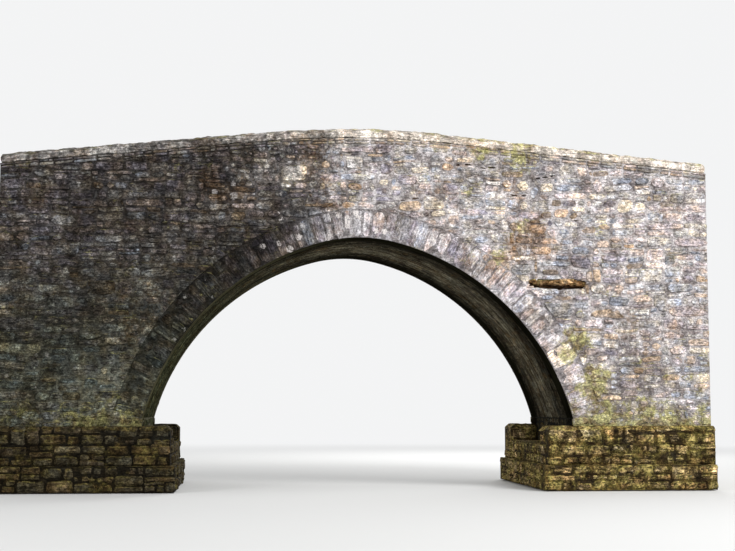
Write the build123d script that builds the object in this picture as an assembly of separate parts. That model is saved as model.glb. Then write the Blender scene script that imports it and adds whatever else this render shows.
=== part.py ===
"""Single-span rubble-stone road bridge over a small river.

X runs along the road, Y through the arch and Z up. The downstream face looks to -Y. The origin is
the middle of the bridge at the level where its base courses meet the river bed. Sizes are in
millimetres.

Base courses and plinths of large blocks carry two abutments. An arch of two cut-stone face rings
and a rubble barrel springs from inclined skewbacks on them. Spandrel walls, wing walls and end
walls hold in the fill, which carries the road. Parapets with rounded copings stand on the walls,
and road, parapets and copings all follow one humped line.
"""

from build123d import *
from math import atan, cos, hypot, radians, sin
import os

# Overall plan, across the bridge
bridge_width = 4400
wall_thickness = 600
parapet_thickness = 420

# Arch, measured on its underside
clear_span = 9040
rise = 3800
crown_radius = 3000
crown_half_angle = 14
ring_depth = 600
barrel_depth = 500

# Abutments and what stands below and beside them
abutment_length = 1750
abutment_height = 1570
wing_length = 1230
end_wall_thickness = 600
base_course_height = 520
base_course_projection = 100
plinth_height = 430
plinth_stream_projection = 600
plinth_face_projection = 250
facing_course_height = 380
facing_course_weathering = 80
impost_height = 170

# Road, parapets and copings
cover_over_crown = 600
road_thickness = 150
road_camber = 40
parapet_height = 920
coping_overhang = 35
coping_edge_height = 120
coping_rounding = 110
ramp_slope = 0.1
crown_curve_radius = 20000
sweep_overrun = 400

# Hollow left in the downstream face where a long facing stone has come away
scar_length = 1260
scar_height = 240
scar_depth = 60
scar_from_middle = 4210
scar_above_springing = 2830

# Levels and places that follow from the sizes above
half_width = bridge_width / 2
inner_half_width = half_width - wall_thickness
road_half_width = half_width - parapet_thickness
half_span = clear_span / 2
abutment_back = half_span + abutment_length
half_length = abutment_back + wing_length
plinth_top = base_course_height + plinth_height
facing_course_top = plinth_top + facing_course_height
springing_level = facing_course_top + impost_height
abutment_top = facing_course_top + abutment_height
crown_level = springing_level + rise
road_level = crown_level + ring_depth + cover_over_crown
formation_level = road_level - road_thickness
coping_seat_level = road_level + parapet_height
well_above = coping_seat_level + bridge_width

# Centres of the crown arc and of the right haunch arc, which are tangent where they meet
tilt = radians(crown_half_angle)
crown_centre = (0, crown_level - crown_radius)
to_springing = (half_span, springing_level - crown_centre[1])
along_joint = to_springing[0] * sin(tilt) + to_springing[1] * cos(tilt)
chord = hypot(to_springing[0] - crown_radius * sin(tilt), to_springing[1] - crown_radius * cos(tilt))
haunch_radius = chord**2 / (2 * (crown_radius - along_joint))
haunch_centre = (
    (crown_radius - haunch_radius) * sin(tilt),
    crown_centre[1] + (crown_radius - haunch_radius) * cos(tilt),
)
springing_tilt = radians(90) - atan((springing_level - haunch_centre[1]) / (half_span - haunch_centre[0]))


def haunch_point(side, angle, depth):
    """Point on the haunch arc, at an angle from the vertical, depth above the arch's underside."""
    radius = haunch_radius + depth
    return (side * (haunch_centre[0] + radius * sin(angle)), haunch_centre[1] + radius * cos(angle))


def arch_curve(depth):
    """The three arcs of the arch from left springing to right springing, depth above its underside."""
    halfway = (tilt + springing_tilt) / 2
    left = [haunch_point(-1, angle, depth) for angle in (springing_tilt, halfway, tilt)]
    right = [haunch_point(1, angle, depth) for angle in (tilt, halfway, springing_tilt)]
    top = (0, crown_level + depth)
    return [ThreePointArc(*left), ThreePointArc(left[2], top, right[0]), ThreePointArc(*right)]


def through(face, y_low, y_high):
    """Solid made by drawing an elevation of the bridge through from y_low to y_high."""
    return extrude(Plane.XZ.offset(-y_low) * face, y_low - y_high)


def block(x_low, x_high, y_low, y_high, z_low, z_high):
    """Rectangular block between two corners."""
    size = (x_high - x_low, y_high - y_low, z_high - z_low)
    centre = ((x_low + x_high) / 2, (y_low + y_high) / 2, (z_low + z_high) / 2)
    return Pos(*centre) * Box(*size)


def arch_band(depth, y_low, y_high):
    """Arch of constant depth that ends on its skewbacks."""
    under, over = arch_curve(0), arch_curve(depth)
    ends = [Line(under[0] @ 0, over[0] @ 0), Line(under[2] @ 1, over[2] @ 1)]
    return through(make_face([*under, *over, *ends]), y_low, y_high)


def under_arch(depth, y_low, y_high):
    """All that lies between the skewbacks and below the arch's upper side."""
    over = arch_curve(depth)
    springings = [haunch_point(side, springing_tilt, 0) for side in (-1, 1)]
    closing = [
        Line(over[0] @ 0, springings[0]),
        Line(springings[0], springings[1]),
        Line(springings[1], over[2] @ 1),
    ]
    return through(make_face([*over, *closing]), y_low, y_high)


def hump_line(crown_z, reach):
    """Line of the road: two straight ramps joined over the crown by a tangent arc."""
    slope_angle = atan(ramp_slope)
    tangent_x = crown_curve_radius * sin(slope_angle)
    tangent_z = crown_z - crown_curve_radius * (1 - cos(slope_angle))
    end_z = tangent_z - (reach - tangent_x) * ramp_slope
    ramp_left = Line((-reach, end_z), (-tangent_x, tangent_z))
    over_crown = ThreePointArc((-tangent_x, tangent_z), (0, crown_z), (tangent_x, tangent_z))
    ramp_right = Line((tangent_x, tangent_z), (reach, end_z))
    return [ramp_left, over_crown, ramp_right]


def below_hump(crown_z):
    """All that lies below a humped line, as long as the bridge and wider than it."""
    top = hump_line(crown_z, half_length)
    sides = Polyline(top[0] @ 0, (-half_length, 0), (half_length, 0), top[2] @ 1)
    return through(make_face([*top, sides]), -bridge_width, bridge_width)


def swept_along_hump(section, crown_z):
    """A section drawn upwards from the humped line, carried along it and cut square at both ends."""
    reach = half_length + sweep_overrun
    path = Wire([Plane.XZ * edge for edge in hump_line(crown_z, reach)])
    start = Plane(origin=path @ 0, x_dir=(0, 1, 0), z_dir=path % 0)
    swept = sweep(start * section, path=path)
    return swept & block(-half_length, half_length, -bridge_width, bridge_width, 0, well_above)


def at_left(shape):
    """The same piece at the other end of the bridge."""
    return mirror(shape, about=Plane.YZ)


def upstream(shape):
    """The same piece on the other face of the bridge."""
    return mirror(shape, about=Plane.XZ)


def diagonally(shape):
    """The same piece at the other end and on the other face."""
    return Rot(0, 0, 180) * shape


def base_course():
    """Lowest course of large blocks at the right-hand end, from the river bed up."""
    stream_side = half_span - plinth_stream_projection - base_course_projection
    reach = half_width + plinth_face_projection + base_course_projection
    return block(stream_side, half_length, -reach, reach, 0, base_course_height)


def plinth():
    """Course of large blocks across the whole bridge, which the barrel's abutment stands on."""
    stream_side = half_span - plinth_stream_projection
    reach = half_width + plinth_face_projection
    return block(stream_side, half_length, -reach, reach, base_course_height, plinth_top)


def downstream_facing_course():
    """Large blocks under the foot of the ring and the face walls, with weathered outer edges."""
    stream_side = half_span - plinth_stream_projection
    reach = half_width + plinth_face_projection
    body = block(stream_side, half_length, -reach, -inner_half_width, plinth_top, facing_course_top)
    top = body.faces().sort_by(Axis.Z)[-1]
    front = top.edges().filter_by(Axis.X).sort_by(Axis.Y)[0]
    towards_stream = top.edges().filter_by(Axis.Y).sort_by(Axis.X)[0]
    return chamfer([front, towards_stream], facing_course_weathering)


def abutment():
    """Solid masonry that carries the foot of the arch, cut back to the skewbacks."""
    body = block(half_span, abutment_back, -half_width, half_width, facing_course_top, abutment_top)
    body += block(half_span, abutment_back, -inner_half_width, inner_half_width, plinth_top, abutment_top)
    for side in (-1, 1):
        y_low, y_high = sorted((side * inner_half_width, side * half_width))
        body -= under_arch(ring_depth, y_low, y_high)
    return body - under_arch(barrel_depth, -inner_half_width, inner_half_width)


def downstream_spandrel():
    """Wall over the right haunch, between the ring and the road, on the downstream face."""
    blank = block(0, abutment_back, -half_width, -inner_half_width, abutment_top, well_above)
    wall = blank & below_hump(formation_level)
    return wall - under_arch(ring_depth, -half_width, -inner_half_width)


def facing_scar():
    """The shallow hollow with rounded ends."""
    outline = SlotOverall(scar_length, scar_height)
    middle = Pos(scar_from_middle, springing_level + scar_above_springing)
    return through(middle * outline, -half_width, -half_width + scar_depth)


def downstream_wing_wall():
    """Wall that carries the downstream face on from the abutment to the end of the bridge."""
    low, high = facing_course_top, well_above
    blank = block(abutment_back, half_length, -half_width, -inner_half_width, low, high)
    return blank & below_hump(formation_level)


def end_wall():
    """Plain wall between the wing walls, where the approach is cut off."""
    inside = half_length - end_wall_thickness
    blank = block(inside, half_length, -inner_half_width, inner_half_width, plinth_top, well_above)
    return blank & below_hump(formation_level)


def fill():
    """Packed rubble and earth over the barrel and behind the abutments, under the road."""
    inside = half_length - end_wall_thickness
    mass = block(-inside, inside, -inner_half_width, inner_half_width, plinth_top, well_above)
    mass &= below_hump(formation_level)
    mass -= block(-abutment_back, abutment_back, -bridge_width, bridge_width, 0, abutment_top)
    return mass - under_arch(barrel_depth, -bridge_width, bridge_width)


def roadway():
    """Layer of broken stone between the parapets, a little higher in the middle."""
    foot = Polyline(
        (-road_half_width, road_thickness - road_camber),
        (-road_half_width, 0),
        (road_half_width, 0),
        (road_half_width, road_thickness - road_camber),
    )
    surface = ThreePointArc(foot @ 0, (0, road_thickness), foot @ 1)
    return swept_along_hump(make_face([foot, surface]), formation_level)


def downstream_parapet():
    """Wall that guards the road, flush with the downstream face."""
    band = below_hump(coping_seat_level) - below_hump(formation_level)
    return band & block(-half_length, half_length, -half_width, -road_half_width, 0, well_above)


def downstream_coping():
    """Rounded capping on the downstream parapet."""
    half = parapet_thickness / 2 + coping_overhang
    foot = Polyline((-half, coping_edge_height), (-half, 0), (half, 0), (half, coping_edge_height))
    top = ThreePointArc(foot @ 0, (0, coping_edge_height + coping_rounding), foot @ 1)
    middle = -half_width + parapet_thickness / 2
    section = Pos(middle, 0) * make_face([foot, top])
    return swept_along_hump(section, coping_seat_level)


def build_nodes():
    """Every piece by its node name."""
    nodes = {
        "arch_barrel": arch_band(barrel_depth, -inner_half_width, inner_half_width),
        "spandrel_fill": fill(),
        "roadway": roadway(),
    }
    ends = {"base_course": base_course, "plinth": plinth, "abutment": abutment, "end_wall": end_wall}
    for name, make in ends.items():
        piece = make()
        nodes["right_" + name] = piece
        nodes["left_" + name] = at_left(piece)
    lengths = {
        "arch_ring": arch_band(ring_depth, -half_width, -inner_half_width),
        "parapet": downstream_parapet(),
        "coping": downstream_coping(),
    }
    for name, piece in lengths.items():
        nodes["downstream_" + name] = piece
        nodes["upstream_" + name] = upstream(piece)
    quarters = {
        "facing_course": downstream_facing_course(),
        "spandrel": downstream_spandrel(),
        "wing_wall": downstream_wing_wall(),
    }
    for name, piece in quarters.items():
        nodes["downstream_right_" + name] = piece
        nodes["downstream_left_" + name] = at_left(piece)
        nodes["upstream_right_" + name] = upstream(piece)
        nodes["upstream_left_" + name] = diagonally(piece)
    nodes["downstream_right_spandrel"] -= facing_scar()
    return nodes


def main():
    os.makedirs("parts", exist_ok=True)
    for name, shape in build_nodes().items():
        export_step(shape, f"parts/{name}.step")
        print(name, len(shape.solids()), round(shape.volume / 1e9, 3), "cubic metres")


main()
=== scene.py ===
# %% [markdown]
# An old country road bridge with one arch, built of rough stones in lime. Its solids come in as a
# fixed frame in metres: x runs along the road, y through the arch and z up, with the stream's bed
# at z = 0. The solids stay as the mortar bed, and this lesson lays the stones on them.

# %% The frame
import random
from math import atan, atan2, cos, hypot, pi, radians, sin

import bmesh
import bpy
from mathutils import Matrix, Vector, noise


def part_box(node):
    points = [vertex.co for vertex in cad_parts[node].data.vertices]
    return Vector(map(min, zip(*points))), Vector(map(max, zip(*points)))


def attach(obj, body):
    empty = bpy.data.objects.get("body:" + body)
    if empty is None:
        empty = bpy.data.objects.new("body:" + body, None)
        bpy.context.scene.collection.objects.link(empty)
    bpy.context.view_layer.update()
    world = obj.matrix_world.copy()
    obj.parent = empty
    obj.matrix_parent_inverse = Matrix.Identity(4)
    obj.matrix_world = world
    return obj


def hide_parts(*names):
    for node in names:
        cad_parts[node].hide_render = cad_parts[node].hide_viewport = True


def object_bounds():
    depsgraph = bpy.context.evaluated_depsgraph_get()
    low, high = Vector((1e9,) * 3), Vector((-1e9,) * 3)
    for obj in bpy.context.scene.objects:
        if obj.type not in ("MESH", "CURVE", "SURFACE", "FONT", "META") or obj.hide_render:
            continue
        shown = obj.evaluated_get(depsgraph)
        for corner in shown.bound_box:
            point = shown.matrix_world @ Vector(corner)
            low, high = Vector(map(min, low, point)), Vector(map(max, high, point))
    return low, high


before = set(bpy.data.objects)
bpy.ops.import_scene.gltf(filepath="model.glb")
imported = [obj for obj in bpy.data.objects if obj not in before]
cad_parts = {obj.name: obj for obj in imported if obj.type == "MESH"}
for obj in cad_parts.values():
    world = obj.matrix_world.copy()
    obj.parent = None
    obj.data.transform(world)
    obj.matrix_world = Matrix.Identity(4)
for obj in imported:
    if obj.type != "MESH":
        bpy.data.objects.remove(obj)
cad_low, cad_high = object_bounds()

scene = bpy.context.scene
# Blender seeds its noise from the clock. A fixed seed gives the same stones each time.
noise_seed = 1795771728
noise.seed_set(noise_seed)
print("solids in the frame:", len(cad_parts))

# %% [markdown]
# The camera stands where the picture was taken: low over the stream, a little left of the middle,
# looking up and to the right. Its place was worked out from the ends of the parapet, the crown,
# the springing and the depth of the arch, so a point on the stone falls on the same pixel.

# %% Camera
camera_place = (-2.52, -31.83, 1.68)
camera_turn = radians(5.14)
camera_rise = radians(5.39)
camera_lens = 69.46

camera_data = bpy.data.cameras.new("camera")
camera_data.lens = camera_lens
camera_data.sensor_width = 36.0
camera_data.clip_end = 500.0
camera = bpy.data.objects.new("camera", camera_data)
camera.location = camera_place
camera.rotation_euler = (pi / 2 + camera_rise, 0.0, -camera_turn)
scene.collection.objects.link(camera)
scene.camera = camera
scene.view_settings.view_transform = "Standard"

# %% [markdown]
# Materials are built from a few small helpers. A node can be set and linked by hand, but sums
# written as sums are easier to read. So what a node gives out is wrapped in a Result, and a plus
# or a times between two of them adds the node that does it.

# %% Helpers for nodes
class Result:
    """What a node gives out. It is added, taken away, multiplied and raised like a number."""

    def __init__(self, socket):
        self.socket = socket
        self.tree = socket.id_data

    def also(self, title):
        """Another result of the same node, by its name or place."""
        return Result(self.socket.node.outputs[title])

    def __add__(self, other):
        return reckon("ADD", self, other)

    def __sub__(self, other):
        return reckon("SUBTRACT", self, other)

    def __rsub__(self, other):
        return reckon("SUBTRACT", other, self)

    def __mul__(self, other):
        return reckon("MULTIPLY", self, other)

    def __pow__(self, other):
        return reckon("POWER", self, other)

    __radd__ = __add__


def feed(socket, value):
    """Link a socket to a result, or set it to a plain value."""
    if isinstance(value, Result):
        value.tree.links.new(value.socket, socket)
    else:
        socket.default_value = value[:3] if socket.type == "VECTOR" else value


def add(tree, kind, inputs=(), out=0, **settings):
    """A new node with its settings and its inputs by name or place; gives one of its results."""
    node = tree.nodes.new("ShaderNode" + kind)
    for setting, value in settings.items():
        setattr(node, setting, value)
    for title, value in dict(inputs).items():
        feed(node.inputs[title], value)
    return Result(node.outputs[out])


def tree_of(*values):
    """The tree that the results among these values are in."""
    return next(value.tree for value in values if isinstance(value, Result))


def reckon(how, *values):
    """One step of arithmetic between numbers and results."""
    return add(tree_of(*values), "Math", enumerate(values), operation=how)


def rise(value, low, high, bottom=0.0, top=1.0):
    """Bottom below low, top above high, and a smooth change between."""
    limits = {"From Min": low, "From Max": high, "To Min": bottom, "To Max": top}
    return add(value.tree, "MapRange", {"Value": value, **limits}, interpolation_type="SMOOTHSTEP")


# %% [markdown]
# Stone shows its relief in a light that comes from one side and from above, so one large soft
# lamp stands to the right, as the open sky does in the picture. The sky itself is an even grey
# light. Only what the camera sees of the sky is near white, which keeps the light on the bridge
# plain.

# %% Lamps and sky
sky_light = 0.5
sky_colour = (0.90, 0.905, 0.91, 1.0)
lamp_target = Vector((0.0, 0.0, 3.0))
lamps = {
    "open_sky_side": ((15.0, -19.0, 19.0), 11.0, 5600.0),
    "shaded_side": ((-20.0, -20.0, 9.0), 12.0, 1500.0),
    "from_behind": ((9.0, 24.0, 16.0), 12.0, 3600.0),
}
for name, (place, width, power) in lamps.items():
    data = bpy.data.lights.new(name, "AREA")
    data.shape = "DISK"
    data.size = width
    data.energy = power
    lamp = bpy.data.objects.new(name, data)
    lamp.location = place
    lamp.rotation_euler = (lamp_target - lamp.location).to_track_quat("-Z", "Y").to_euler()
    scene.collection.objects.link(lamp)

world = bpy.data.worlds.new("sky")
world.use_nodes = True
scene.world = world
sky = world.node_tree
sky.nodes.clear()
camera_ray = add(sky, "LightPath", out="Is Camera Ray")
straight_ray = reckon("MAXIMUM", camera_ray, camera_ray.also("Is Glossy Ray"))
straight_ray = reckon("MAXIMUM", straight_ray, camera_ray.also("Is Transmission Ray"))
lighting = add(sky, "Background", {"Color": (0.98, 0.99, 1.0, 1.0), "Strength": sky_light})
seen = add(sky, "Background", {"Color": sky_colour})
chosen = add(sky, "MixShader", {0: straight_ray, 1: lighting, 2: seen})
feed(sky.nodes.new("ShaderNodeOutputWorld").inputs["Surface"], chosen)
print("lamps:", ", ".join(lamps))

# %% [markdown]
# The floor is one wide pale sheet, a hair below the lowest stones. It isn't part of the bridge.
# Far off it turns into the colour of the sky, so no horizon cuts the picture.

# %% Floor
floor_reach = 150.0
floor_drop = 0.02
fade_start = 11.0
fade_end = 42.0

floor_shape = bmesh.new()
bmesh.ops.create_grid(floor_shape, x_segments=1, y_segments=1, size=floor_reach)
bmesh.ops.translate(floor_shape, vec=(0.0, 0.0, -floor_drop), verts=floor_shape.verts)
floor_mesh = bpy.data.meshes.new("floor")
floor_shape.to_mesh(floor_mesh)
floor_shape.free()
floor = bpy.data.objects.new("floor", floor_mesh)
scene.collection.objects.link(floor)
floor_finish = bpy.data.materials.new("pale_floor")
floor_finish.use_nodes = True
floor_tree = floor_finish.node_tree
floor_shader = floor_tree.nodes["Principled BSDF"]
floor_shader.inputs["Base Color"].default_value = (0.74, 0.74, 0.73, 1.0)
floor_shader.inputs["Roughness"].default_value = 0.9
floor_place = add(floor_tree, "TexCoord", out="Object")
distance = add(floor_tree, "VectorMath", {0: floor_place}, out="Value", operation="LENGTH")
faded = rise(distance, fade_start, fade_end) * add(floor_tree, "LightPath", out="Is Camera Ray")
far_off = add(floor_tree, "Emission", {"Color": sky_colour})
shown = add(floor_tree, "MixShader", {0: faded, 1: Result(floor_shader.outputs[0]), 2: far_off})
feed(floor_tree.nodes["Material Output"].inputs["Surface"], shown)
floor_mesh.materials.append(floor_finish)

# %% [markdown]
# Stone needs noise and mixed colours. A noise is asked for by the size of its clouds in metres,
# which keeps every pattern true to the size of real stone. An effect that several finishes share
# is a node group: a function works it out once, and each finish places it with its own amounts.

# %% Helpers for materials
vector = "NodeSocketVector"
colour = "NodeSocketColor"


def shade(red, green, blue):
    """A colour given as it looks, 0 to 255, turned into the linear light that Blender mixes."""
    parts = [value / 255 for value in (red, green, blue)]
    linear = [part / 12.92 if part < 0.04045 else ((part + 0.055) / 1.055) ** 2.4 for part in parts]
    return (*linear, 1.0)


def cloud(place, size, detail=4.0, rough=0.6, stretch=(1.0, 1.0, 1.0), shift=0.0):
    """Noise from 0 to 1 with clouds of about this size in metres, longer where it is stretched."""
    scale = [1 / (size * along) for along in stretch]
    location = (shift, shift * 0.7, shift * 1.3)
    moved = add(place.tree, "Mapping", {"Vector": place, "Scale": scale, "Location": location})
    return add(place.tree, "TexNoise", {"Vector": moved, "Scale": 1.0, "Detail": detail, "Roughness": rough})


def blend(share, first, second, how="MIX"):
    """Two colours mixed by a share from 0 to 1."""
    inputs = {0: share, 6: first, 7: second}
    return add(tree_of(share, first, second), "Mix", inputs, 2, data_type="RGBA", blend_type=how)


def dimmed(paint, factor):
    """A colour made darker or lighter by a factor."""
    return add(tree_of(paint, factor), "VectorMath", {0: paint, "Scale": factor}, operation="SCALE")


def parts_of(whole):
    """The x, y and z of a place, or the three parts of a colour."""
    first = add(whole.tree, "SeparateXYZ", {0: whole})
    return first, first.also(1), first.also(2)


def new_group(work, outputs, **inputs):
    """A node group with named inputs and outputs, worked out by a function of its inputs."""
    group = bpy.data.node_groups.new(work.__name__, "ShaderNodeTree")
    for title, plain in inputs.items():
        kind = plain if isinstance(plain, str) else "NodeSocketFloat"
        socket = group.interface.new_socket(name=title, in_out="INPUT", socket_type=kind)
        if plain != kind:
            socket.default_value = plain
    for title in outputs:
        kind = colour if title == "Colour" else "NodeSocketFloat"
        group.interface.new_socket(name=title, in_out="OUTPUT", socket_type=kind)
    coming_in = group.nodes.new("NodeGroupInput").outputs
    going_out = group.nodes.new("NodeGroupOutput").inputs
    for title, value in zip(outputs, work(*[Result(coming_in[title]) for title in inputs])):
        feed(going_out[title], value)
    return group


def use_group(group, **values):
    """A group placed in a material, with its inputs given by name; gives its results by name."""
    node = tree_of(*values.values()).nodes.new("ShaderNodeGroup")
    node.node_tree = group
    for title, value in values.items():
        feed(node.inputs[title], value)
    return {socket.name: Result(socket) for socket in node.outputs}


# %% [markdown]
# The body of a stone: every stone has its own tone, fine bands along its bed, blotches the size of
# a hand, a speckle of pale crumbs and dark pits, and a grain of crystals. The bands follow the
# stone's own bed, which its points carry as an attribute, so they stand upright in the ring and
# lie flat in the walls. The speckle runs over stones and mortar alike, as weather does.

# %% Group: the body of a stone
def stone_body(place, bed, paint, tone, banding, contrast, crumbs):
    """The stone's colour, its relief, and how far weather has lightened or darkened it."""
    blotches = rise(cloud(place, 0.16, 6.0, 0.7), 0.32, 0.68)
    bands = rise(cloud(bed, 0.05, 4.0, 0.6, (7.0, 3.0, 0.6)), 0.3, 0.7)
    speckle = rise(cloud(bed, 0.042, 4.0, 0.75, (1.7, 1.2, 0.9), 19.0), 0.35, 0.65)
    crystals = rise(cloud(place, 0.024, 3.0, 0.7, shift=7.0), 0.3, 0.7)
    pits = rise(cloud(bed, 0.05, 3.0, 0.65, (2.2, 1.2, 0.7), 29.0), 0.62, 0.70)
    warmth = rise(cloud(place, 0.35, 4.0, 0.65, shift=3.0), 0.35, 0.65)
    large = rise(cloud(place, 0.5, 4.0, 0.6, shift=43.0), 0.32, 0.68)
    coarse = ((bands - 0.5) * banding + 1.0) * (blotches * 0.5 + 0.75) * (large * 0.24 + 0.88)
    fine = (speckle * 0.8 + 0.62) * (crystals * 0.4 + 0.8) * (pits * -0.55 + 1.0)
    weather = coarse**contrast * fine**crumbs
    warmed = blend(1.0, paint, blend(warmth, shade(238, 241, 253), shade(255, 243, 226)), "MULTIPLY")
    relief = bands * 0.3 + speckle * 0.4 + crystals * 0.2 + pits * -0.4
    return dimmed(warmed, weather * (tone * 0.85 + 0.575)), relief, weather


body_group = new_group(
    stone_body, ("Colour", "Height", "Weathering"), Place=vector, Bed=vector, Colour=colour, Tone=0.5,
    Banding=0.3, Contrast=1.0, Crumbs=1.0)

# %% [markdown]
# Lime from the joints has been smeared and washed over the stones. The mask breaks up at two
# sizes, from half a metre to a hand, and it clings to the joints. Grime and rust work the same
# way, with their own clouds.

# %% Groups: lime, grime, rust
def smear_group(name, size, shift, cling, soft):
    """A broken mask for something smeared over stone, thicker at the joints."""

    def smear(place, amount, edge):
        """Two sizes of clouds, cut off at a level that the amount sets."""
        large = cloud(place, size, 6.0, 0.7, shift=shift) * 0.66
        small = cloud(place, size * 0.12, 4.0, 0.75, shift=shift + 2.0) * 0.34
        limit = amount * -0.4 + (0.70 - soft / 2)
        return [rise(large + small + edge * cling, limit, limit + soft)]

    smear.__name__ = name
    return new_group(smear, ["Mask"], Place=vector, Amount=0.5, Edge=0.0)


lime_smear = smear_group("lime_smear", 0.42, 11.0, 0.04, 0.14)
dark_grime = smear_group("dark_grime", 0.34, 23.0, 0.03, 0.16)
rust_stain = smear_group("rust_stain", 0.7, 37.0, 0.0, 0.16)

# %% [markdown]
# Lichen grows in round pale spots that stand apart, and crumbles at the rims. Moss takes the
# places that face up and the stones near the stream. It is green and brown, and darker where the
# stone stays wet.

# %% Groups: lichen and moss
def lichen_spots(place, amount):
    """Round spots of many sizes in cells of noise, and more of them where the amount is high."""
    wobble = add(place.tree, "TexNoise", {"Vector": place, "Scale": 17.0, "Detail": 4.0}, out="Color")
    swayed = {0: wobble, 1: (0.12, 0.12, 0.12), 2: place}
    moved = add(place.tree, "VectorMath", swayed, operation="MULTIPLY_ADD")
    rounds = add(place.tree, "TexVoronoi", {"Vector": moved, "Scale": 5.0}, out="Color")
    chance = parts_of(rounds)[0]
    crowded = rise(amount, 0.8, 1.4, -1.05, -0.75)
    reach = reckon("MINIMUM", amount * (chance * 1.5 + crowded), 0.38)
    crumbled = rise(cloud(place, 0.03, 3.0, 0.7, shift=71.0), 0.38, 0.56)
    return [rise(reach - rounds.also("Distance"), -0.05, 0.05) * crumbled]


def moss_growth(place, amount, upward, wetness):
    """Where moss has taken hold, and its colour."""
    likely = cloud(place, 0.36, 7.0, 0.75, shift=51.0) + rise(upward, 0.15, 0.85, 0.0, 0.14)
    limit = amount * -0.45 + 0.68
    tufts = rise(cloud(place, 0.05, 5.0, 0.75, shift=5.0), 0.36, 0.66)
    dry_greens = blend(tufts, shade(128, 124, 76), shade(212, 206, 136))
    wet_greens = blend(tufts, shade(26, 24, 11), shade(146, 126, 58))
    browns = blend(tufts, shade(58, 44, 26), shade(142, 114, 68))
    browner = rise(cloud(place, 0.22, 4.0, 0.7, shift=61.0), 0.45, 0.6, 0.0, 0.8)
    return rise(likely, limit, limit + 0.16), blend(browner, blend(wetness, dry_greens, wet_greens), browns)


lichen_group = new_group(lichen_spots, ["Mask"], Place=vector, Amount=0.5)
moss_group = new_group(moss_growth, ("Mask", "Colour"), Place=vector, Amount=0.3, Upward=0.0, Wetness=0.0)

# %% [markdown]
# The left half of the bridge stands in deep damp and has gone dark, and its colour also carries
# painted shade of the trees over it, while the right half is bleached and limed. One group gives
# how light the stone is along the bridge, painted shade included. Its limits wander, so no straight edge
# shows.

# %% Group: painted shade and damp of the left side
def shade_and_damp_side(place, darkest):
    """How light the stone is, with the trees' shade painted in on the left, and how far it is bleached."""
    along = parts_of(place)[0] + (cloud(place, 1.1, 6.0, 0.7) * 3.2 - 1.6)
    return rise(along, -3.3, 0.8, darkest, 1.0), rise(along, -3.3, 0.8)


shade_and_damp_group = new_group(shade_and_damp_side, ("Light", "Bleached"), Place=vector, Darkest=0.25)

# %% [markdown]
# Some marks spread over several stones at once: rust, moss, lime that ran down, and places that
# are paler or darker than their surroundings. They are noted from the picture as places on
# the front face: x, z, how far each reaches in metres, and how strong it is.

# %% Group: marks at noted places
mark_places = {
    "Rust": [
        (3.65, 5.35, 0.8, 0.28), (3.0, 5.0, 0.5, 0.25), (-2.9, 6.35, 0.7, 0.3), (2.6, 6.95, 0.8, 0.15),
        (-0.6, 6.05, 0.5, 0.2), (-4.6, 3.6, 1.0, 0.2), (-1.0, 7.0, 0.9, 0.22),
    ],
    "Moss": [
        (4.5, 3.05, 0.5, 0.46), (4.95, 2.3, 0.5, 0.32), (2.7, 7.12, 0.5, 0.36), (3.5, 7.02, 0.55, 0.36),
        (3.5, 5.55, 0.3, 0.3), (3.0, 4.85, 0.4, 0.2),
    ],
    "Lime": [
        (-0.66, 5.78, 0.16, 1.0), (-0.02, 5.55, 0.2, 1.0), (1.6, 5.3, 0.16, 0.9), (-1.25, 5.5, 0.1, 0.9),
        (-1.45, 6.62, 0.25, 0.5), (-3.15, 5.98, 0.14, 0.8), (-2.5, 6.6, 0.12, 0.9),
    ],
    "Spots": [
        (0.1, 5.5, 0.9, 0.55), (1.5, 5.2, 0.6, 0.4), (-1.5, 5.4, 1.0, 0.75), (-2.9, 6.1, 0.8, 0.4),
        (-3.6, 4.6, 0.7, 0.4), (2.5, 4.6, 0.6, 0.3),
    ],
    # Darker Light places partly paint shade: under the coping, and of the trees on the left.
    "Light": [
        (-2.7, 5.97, 0.6, 0.5), (-1.4, 6.62, 0.4, 0.5), (-4.75, 2.25, 0.9, 0.25), (-0.66, 5.78, 0.2, 0.5),
        (-5.9, 3.3, 1.5, -0.35), (-3.9, 4.4, 0.6, -0.35), (2.9, 5.5, 1.6, 0.03), (4.6, 2.9, 0.9, 0.12),
        (3.3, 4.1, 0.8, 0.2), (-0.6, 5.75, 0.6, -0.22), (-0.9, 6.95, 0.6, -0.2), (2.9, 6.85, 0.5, -0.2),
        (3.9, 6.7, 0.6, -0.2), (-3.15, 5.98, 0.2, 0.6), (-2.5, 6.6, 0.2, 0.8), (-1.25, 5.5, 0.15, 0.8),
        (-1.7, 5.55, 0.9, -0.45), (-2.7, 5.0, 0.9, -0.3), (-1.0, 5.65, 0.5, -0.2), (4.27, 3.82, 0.45, -0.1),
        (4.41, 4.38, 0.17, 0.6), (4.75, 4.85, 0.3, -0.3), (3.75, 4.68, 0.3, -0.2),
    ],
}


def noted_marks(place):
    """Each sort of mark, added up from its places, with ragged rims."""
    x, y, z = parts_of(place)
    front_face = rise(y, -1.0, -0.5, 1.0, 0.0)
    ragged = cloud(place, 0.09, 4.0, 0.7, shift=91.0) * 1.6 + 0.2
    totals = []
    for places in mark_places.values():
        total = 0.0
        for mark_x, mark_z, spread, strength in places:
            aside, above = x - mark_x, z - mark_z
            away = (aside * aside + above * above) * ragged
            total = rise(away, 0.0, spread**2, strength, 0.0) + total
        totals.append(total * front_face)
    return totals


mark_group = new_group(noted_marks, mark_places, Place=vector)

# %% [markdown]
# The stones of a wall come in a few kinds, and each stone's points carry the number of its kind.
# A ramp with one even step for each kind turns that number into a colour.

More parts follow.
